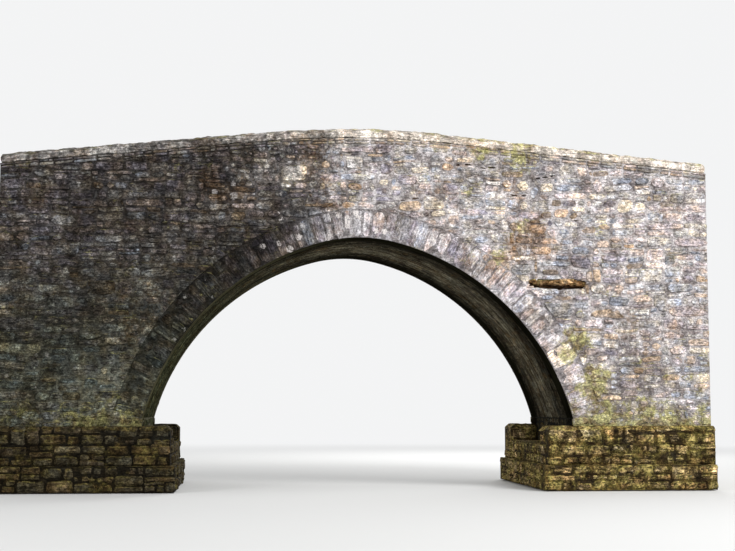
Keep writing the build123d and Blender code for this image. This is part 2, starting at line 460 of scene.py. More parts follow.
# %% Stone colours
stone_colours = {
    "blue_grey": shade(187, 188, 192),
    "grey": shade(196, 191, 186),
    "pink_grey": shade(208, 193, 187),
    "purple_grey": shade(178, 168, 170),
    "cream": shade(232, 222, 208),
    "tan": shade(208, 188, 169),
    "orange": shade(210, 182, 156),
    "rust_brown": shade(163, 146, 128),
    # Open joints: this dark colour paints the shade in the gaps.
    "open_joint": shade(62, 52, 46),
}
kinds = list(stone_colours)
kind_number = {kind: (place + 0.5) / len(kinds) for place, kind in enumerate(kinds)}
lime_white = shade(222, 216, 213)
mortar_grey = shade(202, 195, 191)


def colour_of(kind):
    """The colour of a kind of stone."""
    palette = kind.tree.nodes.new("ShaderNodeValToRGB")
    palette.color_ramp.interpolation = "CONSTANT"
    stops = palette.color_ramp.elements
    for step, paint in enumerate(stone_colours.values()):
        stop = stops[step] if step < 2 else stops.new(step / len(kinds))
        stop.position = step / len(kinds)
        stop.color = paint
    feed(palette.inputs[0], kind)
    return Result(palette.outputs[0])


# %% [markdown]
# One function builds each stone finish from the groups. The amounts differ from place to place:
# much lime on the walls, hardly any under the arch, and moss at the foot. The Principled shader
# and its plain values stay in the material itself.

# %% One stone finish
def stone_finish(
    name, plain=None, lime=(0.3, 0.5), grime=(0.6, 0.35), rust=0.25, lichen=0.5, moss=0.2,
    moss_height=1.3, wet=0.0, darkest=0.28, level=1.0, banding=0.3, contrast=(1.7, 1.0),
    crumbs=(1.4, 1.2), joint_shade=(0.0, 0.4), cast=shade(251, 251, 255), bump=0.010, gloss=0.05,
    deepen=None,
):
    """A weathered stone: pairs are amounts for the dark left and the bleached right side."""
    finish = bpy.data.materials.new(name)
    finish.use_nodes = True
    tree = finish.node_tree
    place = add(tree, "TexCoord", out="Object")
    height = parts_of(place)[2]
    upward = parts_of(add(tree, "NewGeometry", out="Normal"))[2]
    sides = use_group(shade_and_damp_group, Place=place, Darkest=darkest)
    bleached = sides["Bleached"]
    marks = use_group(mark_group, Place=place)

    def from_to(amounts):
        """From the amount on the dark side to the amount on the bleached side."""
        return rise(bleached, 0.0, 1.0, *amounts)

    base, bed, tone, edge, stain, near_joint, takes_lime = plain, place, 0.5, 1.0, 0.0, 1.0, 1.0
    if plain is None:
        looks = add(tree, "Attribute", attribute_name="stone")
        bed = add(tree, "Attribute", attribute_name="bed", out="Vector")
        tone, kind, edge = parts_of(looks)
        stain = looks.also("Alpha")
        base = colour_of(kind)
        near_joint = rise(edge, 0.35, 1.0)
        takes_lime = (1.0 - rise(kind, 0.87, 0.9)) * rise(kind, 0.46, 0.5, 1.0, 0.45)
    body = use_group(
        body_group, Place=place, Bed=bed, Colour=base, Tone=tone, Banding=banding,
        Contrast=from_to(contrast), Crumbs=from_to(crumbs))

    limed = use_group(lime_smear, Place=place, Amount=from_to(lime) + marks["Lime"], Edge=edge)["Mask"]
    limed = limed * takes_lime
    washed = blend(limed * 0.85, body["Colour"], dimmed(lime_white, body["Weathering"]))
    rusted = use_group(rust_stain, Place=place, Amount=marks["Rust"] + rust, Edge=0.0)["Mask"]
    washed = blend(rusted * 0.75, washed, shade(216, 184, 146), "MULTIPLY")
    grimed = use_group(dark_grime, Place=place, Amount=from_to(grime), Edge=edge)["Mask"]
    washed = blend(grimed * 0.8, washed, shade(142, 134, 130), "MULTIPLY")

    # Painted shade in the joints: patches of joint are darkened, partly where their lime is lost and partly
    # for the shade between the stones, more high up on the left.
    lost_or_shaded = rise(cloud(place, 0.3, 5.0, 0.75, shift=83.0), 0.46, 0.60, *joint_shade)
    joint_shade_reach = rise(bleached, 0.3, 1.0, rise(height, 4.2, 5.4), 0.5)
    washed = dimmed(washed, 1.0 - lost_or_shaded * near_joint * joint_shade_reach)
    # Low on the left the colour turns greener: algae of the damp, and partly painted green light thrown by
    # the leaves.
    damp_and_leaf_light = blend(rise(height, 2.4, 5.6, 1.0, 0.0), shade(247, 252, 251), shade(234, 252, 232))
    washed = blend(1.0, washed, blend(bleached, damp_and_leaf_light, cast), "MULTIPLY")
    # Painted shade: the left is dimmed for the shade of the trees as well as its damp, and the Light marks
    # lighten or darken noted places.
    washed = dimmed(washed, sides["Light"] * (marks["Light"] + 1.0) * level)

    spotted = use_group(lichen_group, Place=place, Amount=marks["Spots"] + lichen)["Mask"]
    spot_colour = blend(rise(marks["Spots"], 0.0, 0.3), shade(206, 204, 194), shade(240, 232, 228))
    # Lichen is dimmed on the left with the same painted shade.
    pale_spot = dimmed(spot_colour, from_to((0.45, 1.0)))
    washed = blend(spotted * (marks["Spots"] * 0.5 + 0.62), washed, pale_spot)

    mossy = rise(height, moss_height, moss_height + 0.9, 1.0, 0.0) * 0.4 + moss
    mossy = mossy + rise(height, 2.2, 3.8, 0.14, 0.0) * bleached + (marks["Moss"] + stain)
    grown = use_group(moss_group, Place=place, Amount=mossy, Upward=upward, Wetness=wet)
    # Moss follows the stone's weathering, and is darker on the left with the painted shade.
    moss_light = (reckon("MINIMUM", body["Weathering"], 2.4) * 0.85 + 0.15) * from_to((0.35, 1.0))
    washed = blend(grown["Mask"] * 0.8, washed, dimmed(grown["Colour"], moss_light))
    if deepen is not None:
        washed = deepen(washed, place)

    shader = tree.nodes["Principled BSDF"].inputs
    shader["Specular IOR Level"].default_value = gloss
    feed(shader["Base Color"], washed)
    feed(shader["Roughness"], rise(body["Height"], 0.2, 0.9, 0.96, 0.82))
    raised = limed * 0.25 + body["Height"] + grown["Mask"] * 0.5
    feed(shader["Normal"], add(tree, "Bump", {"Strength": 0.9, "Distance": bump, "Height": raised}))
    return finish


# %% [markdown]
# Under the arch it is damp, and its colour carries painted shade: it is set dark, and darker towards
# the mouths and to the right. Streaks of lime and soot run round it, and they start where
# a stone of the ring turns in from the face.

# %% The underside of the arch
mouth_limits = (2.12, 2.19)


def streaks(place):
    """How light the streaks are that run round the underside of the arch."""
    return rise(cloud(place, 0.12, 5.0, 0.65, (11.0, 1.0, 11.0), shift=13.0), 0.34, 0.66, 0.4, 1.7)


def shaded_mouth_and_soot(washed, place):
    """Painted shade, damp and soot darken the ring's stones as soon as they turn in under the arch; low on
    the left the ring's face is lighter.
    """
    x, y, z = parts_of(place)
    # Painted shade: the underside is dim, and dimmer to the right.
    underside = dimmed(shade(93, 90, 68), streaks(place) * rise(x, -3.2, 0.2, 0.6, 0.07))
    foot = rise(z, 2.2, 3.9, 1.0, 0.0) * rise(x, -3.6, -2.6, 1.0, 0.0)
    inwards = rise(reckon("ABSOLUTE", y), *mouth_limits, 1.0, 0.0)
    return blend(inwards, dimmed(washed, foot * 0.8 + 1.0), underside)


def streaked_soffit(washed, place):
    """The streaks of the underside, and the shade that deepens towards the arch's two mouths."""
    x, y, _ = parts_of(place)
    wavering = cloud(place, 0.8, 4.0, 0.6) * 0.5 + reckon("ABSOLUTE", y)
    shaded = rise(wavering, 0.0, 2.1, 1.0, rise(x, -3.2, 0.2, 0.6, 0.10))
    return dimmed(blend(1.0, dimmed(washed, streaks(place)), shade(243, 241, 206), "MULTIPLY"), shaded)


# %% [markdown]
# The finishes in use. What those of one place share is written once: the ring and its mortar, all
# that is under the arch, and the foot that stands in the damp.

# %% Finishes
mortar = {"plain": mortar_grey, "bump": 0.006}
in_ring = {"cast": shade(246, 248, 255), "gloss": 0.0, "deepen": shaded_mouth_and_soot}
under_arch = {
    "lime": (0.5, 0.5), "grime": (0.5, 0.5), "rust": 0.3, "lichen": 0.0, "moss": 0.0, "moss_height": 0.9,
    "wet": 1.0, "darkest": 0.55, "contrast": (0.9, 0.9), "crumbs": (0.9, 0.9), "gloss": 0.0,
    "deepen": streaked_soffit,
}
in_foot = {"moss": 0.0, "moss_height": 0.95, "cast": shade(250, 250, 212)}
coping_cast = shade(253, 250, 240)
amounts = {
    "wall_stone": dict(
        lime=(0.28, 0.25), darkest=0.30, level=0.905, contrast=(2.5, 1.5), crumbs=(2.0, 1.6),
        joint_shade=(0.3, 0.9), cast=shade(247, 250, 253)),
    "wall_mortar": dict(
        mortar, lime=(0.2, 0.55), grime=(0.75, 0.4), darkest=0.28, level=0.85, contrast=(2.6, 1.3),
        joint_shade=(0.15, 0.35)),
    "ring_stone": dict(
        in_ring, lime=(0.25, 0.5), rust=0.3, lichen=0.7, darkest=0.118, level=0.885, banding=0.6,
        contrast=(2.0, 1.15), crumbs=(1.4, 1.1), joint_shade=(0.0, 0.2)),
    "ring_mortar": dict(
        in_ring, **mortar, lime=(0.2, 0.5), grime=(0.75, 0.5), rust=0.1, darkest=0.11, level=0.76),
    "abutment_mortar": dict(mortar, lime=(0.2, 0.5), grime=(0.75, 0.5), level=0.76, deepen=shaded_mouth_and_soot),
    # The low levels under the arch are partly painted shade, partly damp and soot.
    "soffit_stone": dict(under_arch, level=0.33, joint_shade=(0.0, 0.3)),
    "soffit_mortar": dict(under_arch, **mortar, level=0.32, joint_shade=(0.0, 0.2)),
    "base_stone": dict(
        in_foot, lime=(0.3, 0.45), grime=(0.6, 0.5), rust=0.8, lichen=0.2, wet=0.75, darkest=0.45,
        level=0.58, contrast=(2.4, 4.6), crumbs=(1.8, 2.8), joint_shade=(0.3, 0.95)),
    "base_mortar": dict(
        in_foot, plain=mortar_grey, lime=(0.1, 0.15), grime=(0.95, 0.9), rust=0.7, lichen=0.0, wet=0.85,
        darkest=0.4, level=0.16, contrast=(1.5, 1.5)),
    "scar_stone": dict(
        lime=(0.0, 0.1), grime=(0.6, 0.6), rust=0.5, lichen=0.0, moss=0.25, wet=0.5, level=0.95,
        contrast=(2.0, 2.0), crumbs=(2.4, 2.4), cast=shade(255, 244, 214)),
    "coping_mortar": dict(
        plain=shade(212, 198, 190), lime=(0.45, 0.55), grime=(0.4, 0.35), lichen=0.8, moss=0.16,
        darkest=0.5, contrast=(3.2, 2.1), cast=coping_cast),
    "coping_slab": dict(
        lime=(0.35, 0.35), grime=(0.5, 0.45), rust=0.3, moss=0.25, darkest=0.45, level=0.9,
        contrast=(1.6, 1.2), cast=coping_cast),
    "road_stone": dict(
        lime=(0.1, 0.2), grime=(0.3, 0.25), lichen=0.0, moss=0.0, darkest=0.6, level=0.86,
        contrast=(1.0, 0.8), crumbs=(1.0, 0.9)),
    "road_earth": dict(
        plain=shade(172, 156, 134), lime=(0.0, 0.1), grime=(0.25, 0.2), lichen=0.0, moss=0.02,
        darkest=0.6, level=0.8, contrast=(0.8, 0.6), crumbs=(1.2, 1.1)),
}
finishes = {name: stone_finish(name, **given) for name, given in amounts.items()}
print("finishes:", len(bpy.data.materials), "with", len(bpy.data.node_groups), "shared groups")

# %% [markdown]
# The solids keep their shapes and show as lime mortar between the stones. A word in a solid's
# name tells which mortar it gets; the walls and the parapets get the usual one.

# %% Finishes of the solids
solid_finishes = {
    "barrel": "soffit_mortar", "fill": "base_mortar", "roadway": "road_earth", "ring": "ring_mortar",
    "coping": "coping_mortar", "abutment": "abutment_mortar", "course": "base_mortar",
    "plinth": "base_mortar",
}
for name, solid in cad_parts.items():
    found = [finish for word, finish in solid_finishes.items() if word in name]
    solid.data.materials.clear()
    solid.data.materials.append(finishes[found[0] if found else "wall_mortar"])

# %% [markdown]
# Lines of the bridge that the stones follow. The road and the coping rise in a straight ramp from
# each end and roll over the crown in a wide arc. The arch has three arcs: a tight one over the
# crown and a wide one down each side.

# %% Lines of the bridge
half_length = cad_high.x
parapet_low, parapet_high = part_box("downstream_parapet")
wall_face = parapet_low.y
parapet_inside = parapet_high.y
coping_seat = parapet_high.z
road_low, road_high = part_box("roadway")
road_top = road_high.z
plinth_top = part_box("right_plinth")[1].z
facing_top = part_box("downstream_right_facing_course")[1].z
ramp_slope = 0.1
crown_curve = 20.0
ramp_start = crown_curve * sin(atan(ramp_slope))

half_span = 4.52
springing = 1.5
crown_radius = 3.0
crown_centre = (0.0, 2.3)
crown_lean = radians(14.0)
haunch_radius = 5.2496
haunch_centre = (-0.5442, 0.1172)
springing_lean = pi / 2 - atan2(springing - haunch_centre[1], half_span - haunch_centre[0])
crown_run = crown_radius * crown_lean
arch_run = crown_run + haunch_radius * (springing_lean - crown_lean)
ring_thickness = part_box("downstream_arch_ring")[1].z - (crown_centre[1] + crown_radius)


def hump(x):
    """How far the line of the road has dropped below its top at a place along the bridge."""
    x = abs(x)
    if x < ramp_start:
        return crown_curve - (crown_curve**2 - x**2) ** 0.5
    return crown_curve * (1 - cos(atan(ramp_slope))) + (x - ramp_start) * ramp_slope


def on_arch(run, depth):
    """The point a run along the underside from the crown, and depth up into the masonry."""
    side = -1.0 if run < 0 else 1.0
    if abs(run) <= crown_run:
        lean, radius, centre = abs(run) / crown_radius, crown_radius, crown_centre
    else:
        lean = crown_lean + (abs(run) - crown_run) / haunch_radius
        radius, centre = haunch_radius, haunch_centre
    return side * (centre[0] + (radius + depth) * sin(lean)), centre[1] + (radius + depth) * cos(lean)


print(f"arch: {2 * arch_run:.2f} m round, springing at {springing_lean * 180 / pi:.1f} degrees")

# %% [markdown]
# A rough stone could be sculpted or scanned. Here it starts as a small grid, its corners are
# pulled in, and it is extruded into the wall. An inset gives the worn arris, and noise moves the
# face out and in. Each point carries the stone's tone, its kind, how near the joint it is, and
# its bed, for the finish to read.

# %% One rough stone
def new_shape():
    """An empty shape whose points carry what the stone finishes read."""
    shape = bmesh.new()
    shape.verts.layers.float_color.new("stone")
    shape.verts.layers.float_vector.new("bed")
    return shape


def clamp(value, low=0.0, high=1.0):
    """A value kept between two limits."""
    return min(high, max(low, value))


def look(kind, tone, stain=0.0):
    """How a stone looks: its tone, its kind, and whether moss stains it."""
    return (tone, kind_number[kind], stain)


def put_looks(stone, looks, near_joint):
    """Write a stone's looks on its points; near_joint says of each if it is beside a joint."""
    layer = stone.verts.layers.float_color["stone"]
    tone, kind, stain = looks
    for point in stone.verts:
        point[layer] = (tone, kind, float(near_joint(point)), stain)


def rough_stone(length, height, depth, proud, looks, dice, joint=0.01, rough=0.009, arris=0.015, rows=None):
    """A stone round the origin: its bed along x, z up, its face towards -y and proud of y = 0."""
    stone = new_shape()
    half_x = max(0.02, (length - joint) / 2)
    half_z = max(0.012, (height - joint) / 2)
    arris = min(arris, half_x * 0.35, half_z * 0.35)
    columns = clamp(round(length / 0.08), 2, 8)
    rows = rows or clamp(round(height / 0.08), 1, 5)
    bmesh.ops.create_grid(stone, x_segments=columns, y_segments=rows, size=1.0)
    bmesh.ops.rotate(stone, verts=stone.verts, matrix=Matrix.Rotation(pi / 2, 3, "X"))
    slack = min(0.048, 0.34 * min(half_x, half_z))
    corners = [(side, level) for side in (-1, 1) for level in (-1, 1)]
    pulls = {corner: (dice.uniform(0, slack), dice.uniform(0, slack)) for corner in corners}
    rounding = dice.uniform(0.1, 0.5) * min(half_x, half_z, 0.1)
    seed = dice.uniform(0, 500)
    for point in stone.verts:
        across, over = point.co.x, point.co.z
        x, z = across * half_x, over * half_z
        for (side, level), (pull_x, pull_z) in pulls.items():
            share = (1 + across * side) * (1 + over * level) / 4
            x -= share * pull_x * side
            z -= share * pull_z * level
        corner = (across * over) ** 6
        x -= corner * rounding * across
        z -= corner * rounding * over * 0.8
        ripple = noise.noise_vector(Vector((x * 9, z * 9, seed)))
        point.co = (x + ripple.x * 0.012, depth, z + ripple.y * 0.012)
    grown = bmesh.ops.extrude_face_region(stone, geom=stone.faces[:])
    rim = {part for part in grown["geom"] if isinstance(part, bmesh.types.BMVert)}
    bmesh.ops.translate(stone, vec=(0.0, -depth - proud + 0.8 * arris, 0.0), verts=list(rim))
    front = [face for face in stone.faces if rim.issuperset(face.verts)]
    bmesh.ops.inset_region(
        stone, faces=front, thickness=arris, depth=0.0, use_even_offset=True, use_boundary=True)
    inner = {point for face in front for point in face.verts}
    lean_x, lean_z = dice.uniform(-0.05, 0.05), dice.uniform(-0.07, 0.07)
    for point in inner:
        x, z = point.co.x, point.co.z
        lumps = noise.noise(Vector((x * 6.5, z * 6.5, seed))) * rough * 2.0
        chips = noise.noise(Vector((x * 19, z * 19, seed + 9))) * rough * 0.7
        point.co.y -= 0.8 * arris + lumps + chips + lean_x * x + lean_z * z
    behind = [face for face in stone.faces if all(point.co.y > depth - 1e-4 for point in face.verts)]
    bmesh.ops.dissolve_faces(stone, faces=behind)
    put_looks(stone, looks, lambda point: point not in inner)
    return stone


# %% [markdown]
# Laying a stone: it is moved to its place in the wall, its joints are let wander with its
# neighbours', what would cross the ring or the coping is cut off along a plane and closed again,
# and then the wall is stood up in the bridge.

# %% Laying a stone
scratch = bpy.data.meshes.new("scratch")


def stood(turn, origin):
    """A place for walls: turned about the upright and moved, with the face towards -y at turn 0."""
    matrix = Matrix.Translation(origin) @ Matrix.Rotation(radians(turn), 4, "Z")
    return lambda point: matrix @ point


def wander(x, z, seed):
    """Where a point of the wall goes when the courses sway; nothing moves at the ends."""
    calm = clamp((half_length - abs(x)) / 0.4)
    sway = noise.noise_vector(Vector((x * 0.6, z * 0.8, seed)))
    ripple = noise.noise_vector(Vector((x * 2.9, z * 3.3, seed + 5)))
    return x + calm * (sway.x * 0.05 + ripple.x * 0.036), z + calm * (sway.y * 0.07 + ripple.y * 0.03)


def add_to(wall, stone):
    """Add a stone to a wall and let go of its own shape."""
    stone.to_mesh(scratch)
    stone.free()
    wall.from_mesh(scratch)


def lay_stone(wall, stone, middle, place, trims=(), seed=None, upright=False):
    """Move the stone to its middle, let it wander, trim it, stand it up and add it to the wall."""
    layer = stone.verts.layers.float_color["stone"]
    bed = stone.verts.layers.float_vector["bed"]
    bmesh.ops.translate(stone, vec=(middle[0], 0.0, middle[1]), verts=stone.verts)
    if seed is not None:
        for point in stone.verts:
            point.co.x, point.co.z = wander(point.co.x, point.co.z, seed)
    for through, away in trims:
        parts = stone.verts[:] + stone.edges[:] + stone.faces[:]
        bmesh.ops.bisect_plane(
            stone, geom=parts, dist=1e-5, plane_co=through, plane_no=away, clear_outer=True)
        rim = [edge for edge in stone.edges if edge.is_boundary]
        if rim:
            bmesh.ops.holes_fill(stone, edges=rim, sides=0)
        for point in {point for edge in rim for point in edge.verts}:
            point[layer] = (*point[layer][:2], 1.0, point[layer][3])
    spread = [[point.co[axis] for point in stone.verts] for axis in (0, 2)]
    if not spread[0] or min(max(values) - min(values) for values in spread) < 0.03:
        stone.free()
        return 0
    for point in stone.verts:
        x, y, z = point.co
        point[bed] = (z, y, x) if upright else (x, y, z)
        point.co = place(point.co)
    bmesh.ops.recalc_face_normals(stone, faces=stone.faces)
    add_to(wall, stone)
    return 1


def finish_piece(name, wall, finish):
    """Make the shape an object with its finish, and let it ride with the bridge."""
    mesh = bpy.data.meshes.new(name)
    wall.to_mesh(mesh)
    wall.free()
    mesh.materials.append(finishes[finish])
    mesh.polygons.foreach_set("use_smooth", [True] * len(mesh.polygons))
    mesh.set_sharp_from_angle(angle=radians(34))
    piece = bpy.data.objects.new(name, mesh)
    scene.collection.objects.link(piece)
    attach(piece, "root")
    triangles = sum(len(face.vertices) - 2 for face in mesh.polygons)
    print(f"{name}: {triangles} triangles")
    return piece


# %% [markdown]
# How the courses are set out. A mason brings rubble up in panels and fills each with what stone
# is at hand. So a wall is divided into panels, and each panel is cut at random into beds and
# upright joints until every part is the size of a stone. Stones that the picture shows are set
# first, and the others make room for them.

# %% Setting out
def split_panel(panel, lengths, heights, dice, beds=9):
    """Cut a panel (left, right, bottom, top) into the cells of its stones."""
    left, right, bottom, top = panel
    width, height = right - left, top - bottom
    tall = beds > 0 and height > dice.uniform(*heights)
    long = width > dice.uniform(*lengths)
    share = dice.uniform(0.3, 0.7)
    if tall and (height > 0.38 or height * 2.4 > width or not long):
        level = bottom + height * share
        halves = (left, right, bottom, level), (left, right, level, top)
        beds -= 1
    elif long:
        joint = left + width * share
        halves = (left, joint, bottom, top), (joint, right, bottom, top)
        beds = min(beds, 1)
    else:
        return [panel]
    return [cell for half in halves for cell in split_panel(half, lengths, heights, dice, beds)]


def set_out(left, right, bottom, top, dice, size, panel=(1.5, 0.75)):
    """The cells of a wall; size is the lengths and heights of its stones, or tells them by place."""
    cells = []
    levels = max(1, round((top - bottom) / panel[1]))
    lift = (top - bottom) / levels
    for level in range(levels):
        low = bottom + level * lift
        joint = left
        while joint < right - 1e-6:
            following = joint + panel[0] * dice.uniform(0.6, 1.3)
            if following > right - 0.4 * panel[0]:
                following = right
            lengths, heights = size((joint + following) / 2, low + lift / 2) if callable(size) else size
            cells += split_panel((joint, following, low, low + lift), lengths, heights, dice)
            joint = following
    return cells


def make_room(cells, x, z, length, height):
    """Leave out a taken place, and keep what remains of each cell round it if it is a stone."""
    left, right, bottom, top = x - length / 2, x + length / 2, z - height / 2, z + height / 2
    kept = []
    for cell in cells:
        a, b, c, d = cell
        if min(b, right) <= max(a, left) or min(d, top) <= max(c, bottom):
            kept.append(cell)
            continue
        ends = (max(a, left), min(b, right))
        rests = [(a, left, c, d), (right, b, c, d), (*ends, c, bottom), (*ends, top, d)]
        kept += [rest for rest in rests if rest[1] - rest[0] > 0.08 and rest[3] - rest[2] > 0.05]
    return kept


# %% [markdown]
# The stones where the picture shows them, read one by one: middle along the bridge, height of the
# middle, length, height, kind and tone. Thin dark places are open joints, painted with the shade in them and
# under the stones above.

# %% Noted stones
noted_stones = [
    (-1.40, 6.67, 0.57, 0.36, "cream", 0.45), (1.89, 6.84, 0.28, 0.20, "orange", 0.7),
    (1.06, 5.98, 0.49, 0.24, "tan", 0.7), (1.65, 5.82, 0.34, 0.15, "cream", 0.7),
    (3.12, 6.53, 0.22, 0.20, "tan", 0.6), (3.46, 6.48, 0.28, 0.26, "cream", 0.9),
    (4.00, 6.43, 0.29, 0.22, "cream", 0.85), (4.33, 5.86, 0.35, 0.24, "orange", 0.75),
    (3.34, 5.52, 0.32, 0.22, "rust_brown", 0.9), (3.82, 5.50, 0.40, 0.26, "tan", 0.75),
    (3.52, 5.24, 0.42, 0.18, "tan", 0.6), (3.90, 5.02, 0.44, 0.19, "tan", 0.85),
    (4.74, 4.79, 0.46, 0.30, "purple_grey", 0.25), (3.46, 4.66, 0.50, 0.26, "blue_grey", 0.1),
    (4.06, 4.58, 0.41, 0.13, "rust_brown", 0.5), (-0.86, 5.98, 0.63, 0.09, "rust_brown", 0.9),
    (-0.11, 6.38, 0.32, 0.15, "orange", 0.3), (-3.05, 6.37, 0.45, 0.14, "rust_brown", 0.8),
    (-2.45, 6.34, 0.50, 0.13, "rust_brown", 0.7), (-3.91, 3.73, 0.20, 0.42, "cream", 0.6),
    (-2.95, 5.97, 0.46, 0.16, "grey", 1.0), (-2.46, 5.98, 0.50, 0.16, "pink_grey", 1.0),
    (-0.16, 6.90, 0.40, 0.33, "cream", 0.5), (-2.35, 6.45, 0.16, 0.12, "cream", 1.0),
]
noted_gaps = [
    (1.05, 6.13, 0.43, 0.05), (3.23, 6.27, 0.66, 0.05), (2.68, 5.51, 0.58, 0.05), (1.95, 6.05, 0.30, 0.035),
    (0.55, 6.60, 0.40, 0.035), (2.15, 6.90, 0.70, 0.06), (2.85, 6.86, 0.60, 0.06), (3.95, 6.66, 0.55, 0.05),
    (4.55, 5.70, 0.32, 0.04), (4.35, 4.95, 0.34, 0.035), (3.1, 4.98, 0.5, 0.045), (-1.95, 6.45, 0.55, 0.04),
    (-3.6, 5.2, 0.6, 0.05), (-0.75, 6.22, 0.5, 0.04),
]
scar = (4.21, 4.33, 1.26, 0.24)
scar_bare = (*scar[:2], scar[2] * 0.92, scar[3] * 0.68)

# %% [markdown]
# The kinds and sizes of stone differ along the bridge: darker greys and purples on the left with
# a few brown ones, and more pink, cream and tan on the right. Flat stones lie high on the left,
# and large ones low down and on the right.

# %% Kinds and sizes of stone
left_kinds = {
    "blue_grey": 2, "grey": 5, "pink_grey": 3, "purple_grey": 7, "cream": 0.2, "tan": 0.5, "rust_brown": 0.5,
}
right_kinds = {
    "blue_grey": 4, "grey": 5, "pink_grey": 6, "purple_grey": 2, "cream": 1.8, "tan": 1.5, "orange": 0.04,
    "rust_brown": 0.1,
}


def pick(dice, weights):
    """One kind by chance, after the weights of the kinds."""
    return dice.choices(list(weights), list(weights.values()))[0]


def any_kind(x, dice):
    """A kind of stone by chance, as they come at this place along the bridge."""
    return pick(dice, right_kinds if dice.random() < clamp((x + 3.0) / 4.5) else left_kinds)


def any_tone(dice, spread, middle=0.5):
    """A tone by chance, dark or light about a middle one."""
    return clamp(dice.gauss(middle, spread))


def wall_size(x, z):
    """Lengths and heights of the stones of the walls."""
    if z > 6.5 and -2.4 < x < -0.1:
        return (0.12, 0.45), (0.05, 0.15)
    if x > -0.6:
        return (0.25, 1.0), (0.10, 0.42)
    if z > 4.6:
        return (0.26, 0.9), (0.10, 0.34)
    return (0.3, 1.1), (0.13, 0.42)


# %% [markdown]
# A stone that would reach into the ring or over the coping's seat is cut by a plane: one that
# touches the back of the ring, the slope of the skewback, or the humped line.

# %% Trims
def arch_trims(x, z, reach):
    """Planes that keep a stone out of the ring and the opening, or None if it lies inside them."""
    side = -1.0 if x < 0 else 1.0
    across = abs(x)
    over_crown = z > crown_centre[1] and atan2(across - crown_centre[0], z - crown_centre[1]) < crown_lean
    centre = crown_centre if over_crown else haunch_centre
    radius = (crown_radius if over_crown else haunch_radius) + ring_thickness
    lean = atan2(across - centre[0], z - centre[1])
    if lean > springing_lean:
        if across + reach < half_span:
            return None
        skew = (side * half_span, 0.0, springing)
        over = (-side * cos(springing_lean), 0.0, sin(springing_lean))
        return [(skew, over), ((side * (half_span - corner_proud), 0.0, 0.0), (-side, 0.0, 0.0))]
    distance = hypot(across - centre[0], z - centre[1]) - radius
    if distance < -reach:
        return None
    if distance > reach:
        return []
    touch = (side * (centre[0] + radius * sin(lean)), 0.0, centre[1] + radius * cos(lean))
    return [(touch, (-side * sin(lean), 0.0, -cos(lean)))]


def below_line(x, level):
    """A plane along the humped line that is at this level over the crown."""
    steep = ramp_slope * clamp(x / ramp_start, -1.0, 1.0)
    return ((x, 0.0, level - hump(x)), Vector((steep, 0.0, 1.0)).normalized())


# %% [markdown]
# The two faces of the bridge. Each is laid in one go, from the facing course to the slabs under
# the coping, and then kept as a left and a right piece. The last stones at each end reach
# deeper, so the corners of the wing walls look built.

# %% Face walls
slab_band = 0.13
quoin_depth = 0.30
stone_depth = 0.07
end_proud = 0.016
corner_proud = 0.012


def reach_end(x, length):
    """The middle and length of a stone, which stands out past the end wall if it is the last."""
    for end in (-1, 1):
        if end * x + length / 2 > half_length - 1e-4:
            return x + end * end_proud / 2, length + end_proud
    return x, length


def noted_work(placed, gaps, dice):
    """The noted stones, and the bits of open joint painted dark with their shade, each with its looks and
    how proud it is.
    """
    work = [(*spot, look(kind, tone), 0.026) for *spot, kind, tone in placed]
    for x, z, length, height in gaps:
        slope = dice.uniform(-0.05, 0.1)
        for part in (-1, 0, 1):
            bit = length / 3 * dice.uniform(0.85, 1.25)
            tall = height * dice.uniform(0.9, 1.6)
            lift = part * length / 3 * slope + dice.uniform(-0.2, 0.2) * height
            looks = look("open_joint", dice.random())
            work.append((x + part * length / 3, z + lift, bit, tall, looks, 0.001))
    return work


def face_wall(side_name, turn, seed, placed=(), gaps=()):
    """Lay all the rubble of one face of the bridge."""
    dice = random.Random(seed)
    along = 1.0 if turn == 0 else -1.0
    place = stood(turn, (0.0, along * wall_face, 0.0))
    area = (-half_length, half_length, facing_top, coping_seat)
    cells = set_out(*area, dice, lambda x, z: wall_size(along * x, z))
    for spot in [*gaps, *([scar_bare] if placed else []), *(stone[:4] for stone in placed)]:
        cells = make_room(cells, *spot)
    work = noted_work(placed, gaps, dice)
    for a, b, c, d in cells:
        x, z = (a + b) / 2, (c + d) / 2
        looks = look(any_kind(along * x, dice), any_tone(dice, 0.24))
        bleached = clamp((along * x + 3.0) / 4.0)
        sheltered = (1 - bleached) * clamp(5.2 - z)
        proud = dice.uniform(0.013, 0.027) - 0.007 * bleached - 0.008 * sheltered
        if dice.random() < 0.06:
            proud += 0.022
        work.append((x, z, b - a, d - c, looks, proud))
    halves = {"left": new_shape(), "right": new_shape()}
    laid = 0
    for x, z, length, height, looks, proud in work:
        trims = arch_trims(x, z, hypot(length, height) / 2 + 0.08)
        top = below_line(x, coping_seat - slab_band)
        if trims is None or z - height / 2 - 0.08 > top[0][2]:
            continue
        if z + height / 2 + 0.12 > top[0][2]:
            trims = trims + [top]
        middle, whole = reach_end(x, length)
        depth = quoin_depth if whole > length else stone_depth
        joint = dice.uniform(0.006, 0.015)
        stone = rough_stone(whole, height, depth, proud, looks, dice, joint=joint)
        half = halves["left" if along * middle < 0 else "right"]
        laid += lay_stone(half, stone, (middle, z), place, trims, seed)
    print(side_name, "face:", laid, "stones")
    for half, wall in halves.items():
        finish_piece(f"{side_name}_{half}_wall_stones", wall, "wall_stone")


face_wall("downstream", 0, 11, noted_stones, noted_gaps)
face_wall("upstream", 180, 12)

# %% [markdown]
# The ring is made of narrow slabs set on edge. Each is a real block 0.6 m deep, as deep as the
# ring, so its lower end shows under the arch too. They are set out along the underside and bent
# round it when they are laid. Low on the right of the downstream face they are twice as wide.

# %% Voussoirs
voussoir_depth = 0.6
ring_kinds = {"pink_grey": 6, "grey": 4, "purple_grey": 5, "blue_grey": 1.5}
big_from = 4.3


